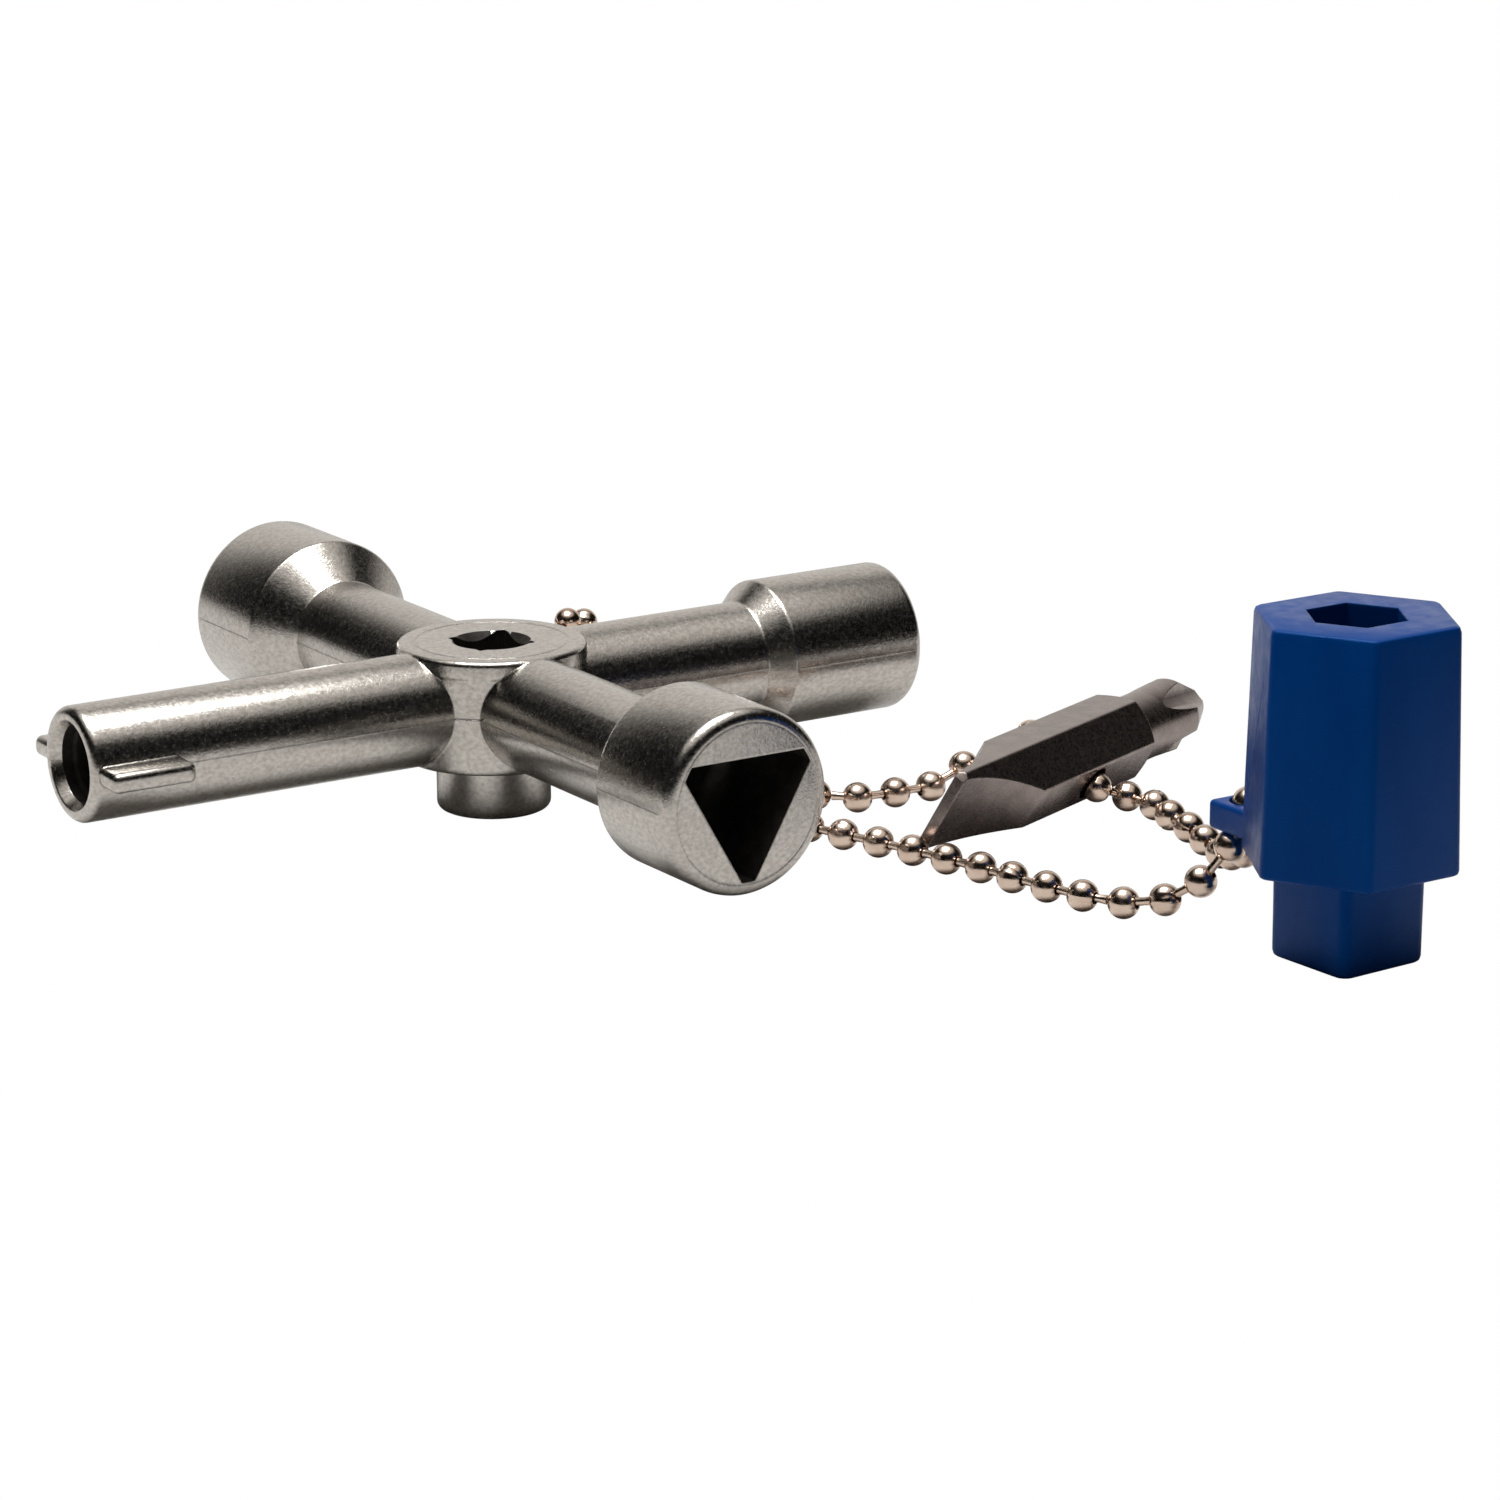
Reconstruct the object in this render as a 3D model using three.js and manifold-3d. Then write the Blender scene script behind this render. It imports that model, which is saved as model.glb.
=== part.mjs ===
// A four-armed service key for bleed valves and meter locks, with a bead chain that
// carries a reversible driver bit and a hexagon adapter. Millimetres, +Z up.
// Everything is laid out about the key's hub axis, which stands at x = y = 0 with the
// square stub's foot at z = 0; the whole group is moved to its own origin at the end.
import * as THREE from "three";
import { mergeVertices } from "three/addons/utils/BufferGeometryUtils.js";
import Module from "manifold-3d";

const wasm = await Module();
wasm.setup();

// ---- driving dimensions -------------------------------------------------------------
const ROUND_STEPS = 32; // sides of the key's round parts
const SMALL_STEPS = 20; // sides of holes and small rounds

const ARM = { axisZ: 8.84, radius: 4.5 };
const HUB = { radius: 7.45, bottomZ: 4.35, topZ: 13.42, rim: 0.45 };
const STUB = { radius: 4.49, foot: 0.6 };
const HUB_SQUARE = 5.0;
const HUB_SINK_RADIUS = 3.4;

// Each arm: how far its end face is from the hub axis, its head, and where the head starts.
const TRIANGLE_HEAD = { end: 36.71, radius: 7.03, neck: 26.93, shoulder: 26.93, rim: 0.9 };
const SMALL_HEAD = { end: 37.09, radius: 6.03, neck: 23.0, shoulder: 24.8, rim: 0.8 };
const LARGE_HEAD = { end: 36.93, radius: 7.36, neck: 24.2, shoulder: 27.0, rim: 0.8 };
const TUBE = { end: 36.35, radius: 4.44, rim: 0.7 };
const TUBE_BORE = { mouth: 3.5, wide: 2.9, narrow: 2.65, chamfer: 0.95, step: 1.85, depth: 16 };
const SOCKET_DEPTH = 11;
const TRIANGLE = { inRadius: 3.43, cornerRadius: 5.9 };
const SMALL_SQUARE = 6.0;
const LARGE_SQUARE = 8.0;
const WING = { reach: 7.0, inner: 3.6, lowZ: 8.03, highZ: 9.58, start: 29.2, end: 36.0 };
const LUG = { x: 7.2, y: 7.2, outer: 2.75, hole: 1.6, lowZ: 7.7, highZ: 9.6 };

const ADAPTER = { x: 30.5, y: -67.37, hexTurn: 0.4, squareTurn: 3.0 };
const ADAPTER_HEX = { topRadius: 7.62, footRadius: 8.14, footZ: 7.06, topZ: 24.92 };
const ADAPTER_SQUARE = { side: 7.9, corner: 0.7 };
const ADAPTER_SOCKET = { acrossFlats: 6.5, depth: 15 };
const TAB = { lowX: -4.3, highX: 0.0, lowY: 6.0, highY: 10.6, lowZ: 7.7, highZ: 9.85 };
const TAB_HOLE = { x: -2.2, y: 8.6, radius: 1.4 };

const BIT = { x: 35.73, y: -26.21, z: 4.19, azimuth: 22.5, acrossFlats: 6.35 };
const BLADE = { tip: -17.1, grindStart: -7.9, tipThickness: 0.9, width: 6.3, grindRadius: 22 };
const CROSS_POINT = { hexEnd: 9.62, neckRadius: 2.75, coneStart: 17.4, tip: 21.33, tipRadius: 1.4 };
const FLUTE = { radius: 1.5, offset: 4.25, length: 10, leanBack: 12 };
const BIT_HOLE = { along: 0.68, radius: 1.5, tilt: 30 };

const BEAD = { radius: 1.2, pitch: 3.36, pinRadius: 0.4 };
const BEADS_PER_GROUP = 4;
const PIN_GAP = 0.3;
const BARREL = { radius: 1.5, length: 5.6, bevel: 0.4 };

// The chain's route, as legs that start and end on the centre of a bead.
const FLOOR = BEAD.radius;
const LEGS = {
  front_near: [
    [16.0, -25.4, FLOOR],
    [17.1, -28.7, FLOOR],
    [18.0, -31.9, FLOOR],
    [18.8, -35.1, FLOOR],
    [19.6, -38.3, FLOOR],
  ],
  front_far: [
    [19.6, -38.3, FLOOR],
    [20.1, -41.8, FLOOR],
    [20.8, -45.1, FLOOR],
    [21.7, -48.5, FLOOR],
    [23.0, -51.3, FLOOR],
  ],
  tab_rise: [
    [23.0, -51.3, FLOOR],
    [24.4, -54.2, 1.9],
    [25.6, -56.9, 3.8],
    [27.1, -58.2, 6.4],
    [28.3, -58.77, 9.7],
  ],
  tab_fall: [
    [28.3, -58.77, 9.7],
    [31.2, -58.4, 11.3],
    [32.7, -57.3, 9.0],
    [33.3, -55.4, 6.4],
    [33.9, -53.2, 4.4],
    [34.6, -50.7, 3.0],
    [35.6, -48.1, 2.0],
    [36.9, -45.2, FLOOR],
  ],
  back_far: [
    [36.9, -45.2, FLOOR],
    [38.0, -41.8, FLOOR],
    [39.2, -38.2, FLOOR],
    [40.0, -35.0, FLOOR],
  ],
  back_near: [
    [40.0, -35.0, FLOOR],
    [40.8, -31.7, FLOOR],
    [40.3, -29.2, 1.3],
    [37.55, -28.83, 2.39],
  ],
  bit_thread: [
    [37.55, -28.83, 2.39],
    [36.44, -26.14, 4.07],
    [35.32, -23.45, 5.75],
    [34.7, -21.0, 3.6],
    [32.5, -18.1, 2.4],
  ],
  head_run: [
    [32.5, -18.1, 2.4],
    [29.4, -18.0, FLOOR],
    [26.0, -17.9, FLOOR],
    [22.8, -17.5, FLOOR],
    [20.5, -15.0, FLOOR],
  ],
  slack_out: [
    [20.5, -15.0, FLOOR],
    [20.0, -9.0, FLOOR],
    [20.5, -3.0, FLOOR],
    [21.5, 4.0, FLOOR],
    [26.0, 10.5, FLOOR],
    [33.0, 14.5, FLOOR],
  ],
  closing: [
    [33.0, 14.5, FLOOR],
    [35.9, 16.2, FLOOR],
    [38.4, 18.4, FLOOR],
  ],
  slack_round: [
    [38.4, 18.4, FLOOR],
    [41.2, 23.5, FLOOR],
    [41.2, 30.0, FLOOR],
    [38.6, 34.9, FLOOR],
    [34.4, 38.3, FLOOR],
  ],
  slack_bend: [
    [34.4, 38.3, FLOOR],
    [33.5, 41.5, 1.9],
    [30.7, 39.7, 2.7],
    [27.9, 38.2, FLOOR],
  ],
  slack_home: [
    [27.9, 38.2, FLOOR],
    [24.5, 32.5, FLOOR],
    [20.5, 24.5, FLOOR],
    [16.0, 17.8, FLOOR],
    [12.6, 13.6, 3.6],
    [11.4, 11.9, 6.8],
    [10.2, 10.5, 9.7],
    [8.3, 8.6, 11.0],
    [7.2, 7.2, 8.1],
  ],
  lug_drop: [
    [7.2, 7.2, 8.1],
    [8.4, 7.6, 5.0],
    [10.2, 7.2, 2.4],
    [11.4, 4.4, FLOOR],
    [11.9, -1.0, FLOOR],
    [12.3, -7.0, FLOOR],
    [12.9, -12.5, FLOOR],
    [13.8, -18.0, FLOOR],
    [16.0, -25.4, FLOOR],
  ],
};
const CLOSING_LEG = "closing"; // the barrel joins the chain's two ends here

// ---- solids from three.js geometries --------------------------------------------------
function solid(geometry, matrix = new THREE.Matrix4()) {
  const plain = geometry.clone();
  plain.deleteAttribute("normal");
  plain.deleteAttribute("uv");
  const merged = mergeVertices(plain.applyMatrix4(matrix), 1e-4);
  return new wasm.Manifold(
    new wasm.Mesh({
      numProp: 3,
      vertProperties: merged.attributes.position.array,
      triVerts: new Uint32Array(merged.index.array),
    }),
  );
}

function geometryOf(manifold) {
  const mesh = manifold.getMesh();
  const geometry = new THREE.BufferGeometry();
  geometry.setAttribute("position", new THREE.BufferAttribute(mesh.vertProperties, 3));
  geometry.setIndex(new THREE.BufferAttribute(mesh.triVerts, 1));
  return geometry;
}

const at = (x, y, z) => new THREE.Matrix4().makeTranslation(x, y, z);
const radians = THREE.MathUtils.degToRad;

// The turn and shift that carry +Z onto a direction, starting at a point.
function along(direction, start) {
  const turn = new THREE.Quaternion().setFromUnitVectors(
    new THREE.Vector3(0, 0, 1),
    direction.clone().normalize(),
  );
  return new THREE.Matrix4().compose(start, turn, new THREE.Vector3(1, 1, 1));
}

// A solid of revolution about +Z from [radius, height] points, foot first.
function turned(profile, steps = ROUND_STEPS) {
  const points = profile.map(([radius, height]) => new THREE.Vector2(radius, height));
  return new THREE.LatheGeometry(points, steps).rotateX(Math.PI / 2);
}

// An upright prism with the given number of sides, its first corner turned from +X.
function prism(sides, footRadius, topRadius, height, turn) {
  return new THREE.CylinderGeometry(topRadius, footRadius, height, sides)
    .rotateX(Math.PI / 2)
    .rotateZ(Math.PI / 2 + radians(turn))
    .translate(0, 0, height / 2);
}

function extruded(points, depth) {
  const shape = new THREE.Shape(points.map(([x, y]) => new THREE.Vector2(x, y)));
  return new THREE.ExtrudeGeometry(shape, { depth, bevelEnabled: false });
}

// A box between two opposite corners.
function block(low, high) {
  const size = high.map((value, axis) => value - low[axis]);
  const middle = high.map((value, axis) => (value + low[axis]) / 2);
  return new THREE.BoxGeometry(...size).translate(...middle);
}

// ---- the key ---------------------------------------------------------------------------
const DIRECTIONS = {
  triangle: new THREE.Vector3(0, -1, 0),
  small: new THREE.Vector3(1, 0, 0),
  large: new THREE.Vector3(0, 1, 0),
  tube: new THREE.Vector3(-1, 0, 0),
};

// Places a shape drawn about +Z so that it runs out along one arm.
function onArm(direction, distance = 0) {
  const start = direction.clone().multiplyScalar(distance).setZ(ARM.axisZ);
  return along(direction, start);
}

function arm(direction, head) {
  const profile = [
    [0, 0],
    [ARM.radius, 0],
    [ARM.radius, head.neck],
    [head.radius, head.shoulder],
    [head.radius, head.end - head.rim],
    [head.radius - head.rim * 0.3, head.end - head.rim * 0.3],
    [head.radius - head.rim, head.end],
    [0, head.end],
  ];
  return solid(turned(profile), onArm(direction));
}

function tubeArm() {
  const { end, radius, rim } = TUBE;
  const bore = TUBE_BORE;
  const profile = [
    [0, 0],
    [radius, 0],
    [radius, end - rim],
    [radius - rim, end],
    [bore.mouth, end],
    [bore.wide, end - bore.chamfer],
    [bore.wide, end - bore.step + (bore.wide - bore.narrow)],
    [bore.narrow, end - bore.step],
    [bore.narrow, end - bore.depth],
    [0, end - bore.depth],
  ];
  return solid(turned(profile), onArm(DIRECTIONS.tube));
}

// One of the two flat wings beside the barrel arm's mouth.
function wing(side) {
  const { inner, reach, start, end, lowZ, highZ } = WING;
  const box = block([-end, inner, lowZ], [-start, reach, highZ]);
  return solid(side > 0 ? box : box.translate(0, -inner - reach, 0));
}

function hub() {
  const { radius, bottomZ, topZ, rim } = HUB;
  const profile = [
    [0, 0],
    [STUB.radius - STUB.foot, 0],
    [STUB.radius, STUB.foot],
    [STUB.radius, bottomZ],
    [radius, bottomZ],
    [radius, topZ - rim],
    [radius - rim * 0.3, topZ - rim * 0.3],
    [radius - rim, topZ],
    [0, topZ],
  ];
  return solid(turned(profile));
}

// The square passage down through the hub and stub, with a 90 degree countersink on top.
function hubPassage() {
  const diagonal = HUB_SQUARE / Math.SQRT2;
  const square = prism(4, diagonal, diagonal, HUB.topZ + 2, 45);
  const sink = turned([
    [0, HUB.topZ - HUB_SINK_RADIUS],
    [HUB_SINK_RADIUS + 1, HUB.topZ + 1],
    [0, HUB.topZ + 1],
  ]);
  return solid(square, at(0, 0, -1)).add(solid(sink));
}

// The three-cornered socket: a triangle, flat side up, with its corners cut to a circle.
function triangleSocket() {
  const corner = 2 * TRIANGLE.inRadius;
  const triangle = prism(3, corner, corner, SOCKET_DEPTH + 1, -90);
  const { cornerRadius } = TRIANGLE;
  const limit = prism(ROUND_STEPS, cornerRadius, cornerRadius, SOCKET_DEPTH + 1, 0);
  const tool = solid(triangle).intersect(solid(limit));
  const turn = new THREE.Matrix4().makeRotationX(Math.PI / 2);
  const mouth = at(0, -(TRIANGLE_HEAD.end - SOCKET_DEPTH), ARM.axisZ).multiply(turn);
  return tool.transform(mouth.elements);
}

function squareSocket(direction, head, side) {
  const diagonal = side / Math.SQRT2;
  const square = prism(4, diagonal, diagonal, SOCKET_DEPTH + 1, 45);
  return solid(square, onArm(direction, head.end - SOCKET_DEPTH));
}

// The ring beside the hub that the chain hangs from.
function lug() {
  const ring = [
    [LUG.hole, LUG.lowZ],
    [LUG.outer, LUG.lowZ],
    [LUG.outer, LUG.highZ],
    [LUG.hole, LUG.highZ],
    [LUG.hole, LUG.lowZ],
  ];
  return solid(turned(ring, SMALL_STEPS), at(LUG.x, LUG.y, 0));
}

function keyBody() {
  return hub()
    .add(arm(DIRECTIONS.triangle, TRIANGLE_HEAD))
    .add(arm(DIRECTIONS.small, SMALL_HEAD))
    .add(arm(DIRECTIONS.large, LARGE_HEAD))
    .add(tubeArm())
    .add(wing(1))
    .add(wing(-1))
    .add(lug())
    .subtract(hubPassage())
    .subtract(triangleSocket())
    .subtract(squareSocket(DIRECTIONS.small, SMALL_HEAD, SMALL_SQUARE))
    .subtract(squareSocket(DIRECTIONS.large, LARGE_HEAD, LARGE_SQUARE));
}

// ---- the adapter -------------------------------------------------------------------------
// A square with cut corners, centred on the origin.
function cutSquare(side, cut) {
  const half = side / 2;
  const near = half - cut;
  return [
    [half, -near], [half, near], [near, half], [-near, half],
    [-half, near], [-half, -near], [-near, -half], [near, -half],
  ];
}

function adapterBody() {
  const { topRadius, footRadius, footZ, topZ } = ADAPTER_HEX;
  const centre = at(ADAPTER.x, ADAPTER.y, 0);
  const body = prism(6, footRadius, topRadius, topZ - footZ, ADAPTER.hexTurn).translate(0, 0, footZ);
  const square = extruded(cutSquare(ADAPTER_SQUARE.side, ADAPTER_SQUARE.corner), footZ + 1);
  square.rotateZ(radians(ADAPTER.squareTurn));
  const socketRadius = ADAPTER_SOCKET.acrossFlats / Math.sqrt(3);
  const socket = prism(6, socketRadius, socketRadius, ADAPTER_SOCKET.depth + 1, ADAPTER.hexTurn);
  const tab = block([TAB.lowX, TAB.lowY, TAB.lowZ], [TAB.highX, TAB.highY, TAB.highZ]);
  const hole = prism(SMALL_STEPS, TAB_HOLE.radius, TAB_HOLE.radius, 4, 0);
  return solid(body)
    .add(solid(square))
    .add(solid(tab))
    .subtract(solid(socket, at(0, 0, topZ - ADAPTER_SOCKET.depth)))
    .subtract(solid(hole, at(TAB_HOLE.x, TAB_HOLE.y, TAB.lowZ - 1)))
    .transform(centre.elements);
}

// ---- the driver bit -----------------------------------------------------------------------
// The bit is drawn along +X with a flat side down, then turned and moved into place.
function bitPlacement() {
  return at(BIT.x, BIT.y, BIT.z).multiply(
    new THREE.Matrix4().makeRotationZ(radians(BIT.azimuth)),
  );
}

// Carries a shape drawn along +Z onto the bit's +X axis, starting at a distance along it.
function onBitAxis(start = 0) {
  return new THREE.Matrix4().makeRotationY(Math.PI / 2).premultiply(at(start, 0, 0));
}

// The bit's hexagon shank, its ends turned down to the blade's width and the neck.
function hexagonBar() {
  const corner = BIT.acrossFlats / Math.sqrt(3);
  const length = CROSS_POINT.hexEnd - BLADE.tip;
  const bar = prism(6, corner, corner, length, 90);
  const ends = turned([
    [0, 0],
    [BLADE.width / 2, 0],
    [corner + 0.1, 0.6],
    [corner + 0.1, length - 0.5],
    [CROSS_POINT.neckRadius, length],
    [0, length],
  ]);
  return solid(bar).intersect(solid(ends)).transform(onBitAxis(BLADE.tip).elements);
}

// One hollow-ground cheek of the blade: everything beyond a slightly curved line.
function cheek(side) {
  const { tip, grindStart, tipThickness, grindRadius } = BLADE;
  const run = grindStart - tip;
  const rise = BIT.acrossFlats / 2 + 0.05 - tipThickness / 2; // ends just above the flat
  const steps = 8;
  const reach = BIT.acrossFlats; // safely beyond the bar on every side
  const outline = [
    [tip - 1, reach],
    [tip - 1, tipThickness / 2],
  ];
  for (let i = 0; i <= steps; i += 1) {
    const share = i / steps;
    const sag = (share * (1 - share) * run * run) / (2 * grindRadius);
    outline.push([tip + share * run, tipThickness / 2 + share * rise - sag]);
  }
  outline.push([grindStart, reach]);
  outline.reverse();
  const tool = extruded(outline, 2 * reach).translate(0, 0, -reach).rotateX(side > 0 ? 0 : Math.PI);
  return solid(tool, new THREE.Matrix4().makeRotationX(radians(BIT_HOLE.tilt)));
}

// The turned nose behind and around the cross point.
function crossPoint() {
  const { hexEnd, neckRadius, coneStart, tip, tipRadius } = CROSS_POINT;
  const body = turned([
    [0, hexEnd - 1],
    [neckRadius, hexEnd - 1],
    [neckRadius, coneStart],
    [tipRadius, tip - 0.4],
    [tipRadius * 0.6, tip],
    [0, tip],
  ]);
  return solid(body, onBitAxis());
}

// One of the four flutes of the cross point, a round groove that runs out at the back.
function flute(index) {
  const { radius, offset, length, leanBack } = FLUTE;
  const groove = new THREE.CylinderGeometry(radius, radius, length, 16);
  const place = new THREE.Matrix4()
    .makeRotationX(radians(45 + 90 * index))
    .multiply(at(CROSS_POINT.coneStart - 4, offset, 0))
    .multiply(new THREE.Matrix4().makeRotationZ(radians(-90 - leanBack)))
    .multiply(at(0, length / 2, 0));
  return solid(groove, place);
}

// The hole through the bit that the chain is threaded through.
function crossHole() {
  const drill = new THREE.CylinderGeometry(BIT_HOLE.radius, BIT_HOLE.radius, 12, SMALL_STEPS);
  const place = new THREE.Matrix4()
    .makeRotationX(radians(BIT_HOLE.tilt))
    .premultiply(at(BIT_HOLE.along, 0, 0));
  return solid(drill, place);
}

function driverBit() {
  let bit = hexagonBar().add(crossPoint());
  bit = bit.subtract(cheek(1)).subtract(cheek(-1)).subtract(crossHole());
  for (let index = 0; index < 4; index += 1) bit = bit.subtract(flute(index));
  return bit.transform(bitPlacement().elements);
}

// ---- the chain -----------------------------------------------------------------------------
// Bead centres, evenly spaced along each leg and never below the floor. A leg's last bead
// is left out, because it is the next leg's first.
function beadCentres(leg) {
  const points = leg.map((point) => new THREE.Vector3(...point));
  const curve = new THREE.CatmullRomCurve3(points, false, "centripetal");
  const links = Math.round(curve.getLength() / BEAD.pitch);
  const centres = curve.getSpacedPoints(links).slice(0, -1);
  centres.forEach((centre) => centre.setZ(Math.max(centre.z, FLOOR)));
  return centres;
}

function bead(centre) {
  return solid(new THREE.SphereGeometry(BEAD.radius, 8, 6), at(...centre));
}

// A pin from one point to another, its far end held back by a gap.
function pin(from, to, gap = 0) {
  const run = to.clone().sub(from);
  const length = run.length() - gap;
  const bar = new THREE.CylinderGeometry(BEAD.pinRadius, BEAD.pinRadius, length, 5)
    .rotateX(Math.PI / 2)
    .translate(0, 0, length / 2);
  return solid(bar, along(run, from));
}

// Beads joined by their pins, and one more pin reaching towards the next group.
function beadGroup(centres, next) {
  let group = bead(centres[0]);
  centres.slice(1).forEach((centre, index) => {
    group = group.add(bead(centre)).add(pin(centres[index], centre));
  });
  return group.add(pin(centres.at(-1), next, BEAD.radius + PIN_GAP));
}

// The barrel that closes the loop: it swallows two beads and its pin reaches the next one.
function barrel([first, second], next) {
  const run = second.clone().sub(first);
  const half = BARREL.length / 2;
  const { radius, bevel } = BARREL;
  const profile = [
    [0, -half],
    [radius - bevel, -half],
    [radius, bevel - half],
    [radius, half - bevel],
    [radius - bevel, half],
    [0, half],
  ];
  const middle = first.clone().add(second).multiplyScalar(0.5);
  middle.setZ(BARREL.radius);
  return solid(turned(profile, 12), along(run, middle))
    .add(pin(second, next, BEAD.radius + PIN_GAP));
}

// ---- materials and assembly ------------------------------------------------------------------
const LOOKS = {
  zinc: { color: 0xa9a6a0, roughness: 0.42, metalness: 1.0 },
  nickel: { color: 0xb9b4ab, roughness: 0.25, metalness: 1.0 },
  steel: { color: 0x4a4038, roughness: 0.45, metalness: 0.9 },
  plastic: { color: 0x0b3a8c, roughness: 0.4, metalness: 0.0 },
};

const part = new THREE.Group();
part.name = "radiator_bleed_key";

function addNode(name, manifold, look) {
  const mesh = new THREE.Mesh(geometryOf(manifold), new THREE.MeshStandardMaterial(LOOKS[look]));
  mesh.name = name;
  part.add(mesh);
}

addNode("key_body", keyBody(), "zinc");
addNode("adapter", adapterBody(), "plastic");
addNode("driver_bit", driverBit(), "steel");

const legs = Object.entries(LEGS).map(([name, leg]) => ({ name, centres: beadCentres(leg) }));
legs.forEach(({ name, centres }, index) => {
  const following = legs[(index + 1) % legs.length].centres[0];
  if (name === CLOSING_LEG) {
    addNode("chain_connector", barrel(centres, following), "nickel");
    return;
  }
  for (let first = 0, group = 1; first < centres.length; first += BEADS_PER_GROUP, group += 1) {
    const own = centres.slice(first, first + BEADS_PER_GROUP);
    const next = centres[first + BEADS_PER_GROUP] ?? following;
    addNode(`chain_${name}_${group}`, beadGroup(own, next), "nickel");
  }
});

// Move the group so that its origin is the middle of its footprint.
const bounds = new THREE.Box3().setFromObject(part);
const middle = bounds.getCenter(new THREE.Vector3());
part.position.set(-middle.x, -middle.y, -bounds.min.z);
part.updateMatrixWorld(true);

export default part;
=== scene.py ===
"""A universal service key for radiator bleed valves and meter locks: a cast cross with
four socket ends, and a bead chain that carries a driver bit and a plastic adapter.
Shapes are drawn in millimetres about the key's hub axis and moved into the CAD frame."""

import math
import random

import bmesh
import bpy
from mathutils import Matrix, Vector


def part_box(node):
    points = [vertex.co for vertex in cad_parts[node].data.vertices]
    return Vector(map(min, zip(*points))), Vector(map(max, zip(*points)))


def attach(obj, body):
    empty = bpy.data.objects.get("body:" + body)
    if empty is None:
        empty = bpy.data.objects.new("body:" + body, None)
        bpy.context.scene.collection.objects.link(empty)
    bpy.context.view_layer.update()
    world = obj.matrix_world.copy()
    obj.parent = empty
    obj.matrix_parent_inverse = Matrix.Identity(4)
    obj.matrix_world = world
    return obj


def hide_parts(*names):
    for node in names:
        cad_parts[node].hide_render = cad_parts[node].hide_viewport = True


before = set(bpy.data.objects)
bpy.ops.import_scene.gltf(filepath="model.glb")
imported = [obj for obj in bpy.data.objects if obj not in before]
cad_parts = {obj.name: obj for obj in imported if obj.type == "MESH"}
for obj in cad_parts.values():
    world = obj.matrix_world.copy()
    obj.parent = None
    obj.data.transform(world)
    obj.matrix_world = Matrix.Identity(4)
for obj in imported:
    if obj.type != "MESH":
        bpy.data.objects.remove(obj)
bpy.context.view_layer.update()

# ---- dimensions, in millimetres ------------------------------------------------------
MM = 0.001
ROUND = 160  # sides of a large round part
SMALL_ROUND = 64

ARM_Z = 8.84
ARM_R = 4.5
HUB_R = 7.45
HUB_LOW = 4.35
HUB_TOP = 13.42
HUB_SQUARE = 5.0
STUB_R = 4.49
TUBE_R = 4.44
TUBE_END = 36.35
TRIANGLE_R = 7.03
TRIANGLE_END = 36.71
SMALL_R = 6.03
SMALL_END = 37.09
SMALL_SQUARE = 6.0
LARGE_R = 7.36
LARGE_END = 36.93
LARGE_SQUARE = 8.0
SOCKET_DEPTH = 11.0

ADAPTER = Vector((30.5, -67.37, 0.0))
BIT = Vector((35.73, -26.21, 4.19))
BIT_AZIMUTH = math.radians(22.5)
BIT_FLATS = 6.35
BIT_TILT = math.radians(30)

BEAD_R = 1.2
BEAD_PITCH = 3.36
PIN_R = 0.36
PIN_STOP = BEAD_R + 0.1  # a group's last pin ends this far from the next bead's centre
BEADS_PER_GROUP = 4
FLOOR_Z = BEAD_R

key_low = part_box("key_body")[0]
HUB_AXIS = Vector((key_low[0] + TUBE_END * MM, key_low[1] + TRIANGLE_END * MM, key_low[2]))
TO_ROW = Matrix.Translation(HUB_AXIS) @ Matrix.Scale(MM, 4)


# ---- camera -----------------------------------------------------------------------------
def make_camera():
    """The photograph's view: a long lens from the front left, looking a little down."""
    place = Vector((-180.8, -314.2, 103.4))
    heading, pitch, roll = math.radians(33.0), math.radians(15.3), math.radians(-0.18)
    right = Vector((math.cos(heading), -math.sin(heading), 0))
    away = Vector((math.sin(heading), math.cos(heading), 0))
    up = math.sin(pitch) * away + Vector((0, 0, math.cos(pitch)))
    back = -(math.cos(pitch) * away - Vector((0, 0, math.sin(pitch))))
    turn = Matrix((right, up, back)).transposed().to_4x4() @ Matrix.Rotation(roll, 4, "Z")
    data = bpy.data.cameras.new("camera")
    data.lens = 114.56
    data.sensor_width = 36.0
    data.shift_x = 0.0058
    data.shift_y = 0.0007
    data.clip_start = 0.01
    camera = bpy.data.objects.new("camera", data)
    camera.matrix_world = Matrix.Translation(HUB_AXIS + place * MM) @ turn
    bpy.context.scene.collection.objects.link(camera)
    bpy.context.scene.camera = camera


# ---- profiles ---------------------------------------------------------------------------
def rounded(points, steps=5):
    """A line of (x, y) or (x, y, radius) corners, each corner with a radius made round."""
    line = []
    for index, point in enumerate(points):
        corner = Vector(point[:2])
        if len(point) < 3:
            line.append(corner)
            continue
        before = (Vector(points[index - 1][:2]) - corner).normalized()
        after = (Vector(points[(index + 1) % len(points)][:2]) - corner).normalized()
        half = before.angle(after) / 2
        centre = corner + (before + after).normalized() * point[2] / math.sin(half)
        start = corner + before * point[2] / math.tan(half)
        stop = corner + after * point[2] / math.tan(half)
        turn = (start - centre).angle_signed(stop - centre)
        for step in range(steps + 1):
            spin = Matrix.Rotation(-turn * step / steps, 2)
            line.append(centre + spin @ (start - centre))
    return line


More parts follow.
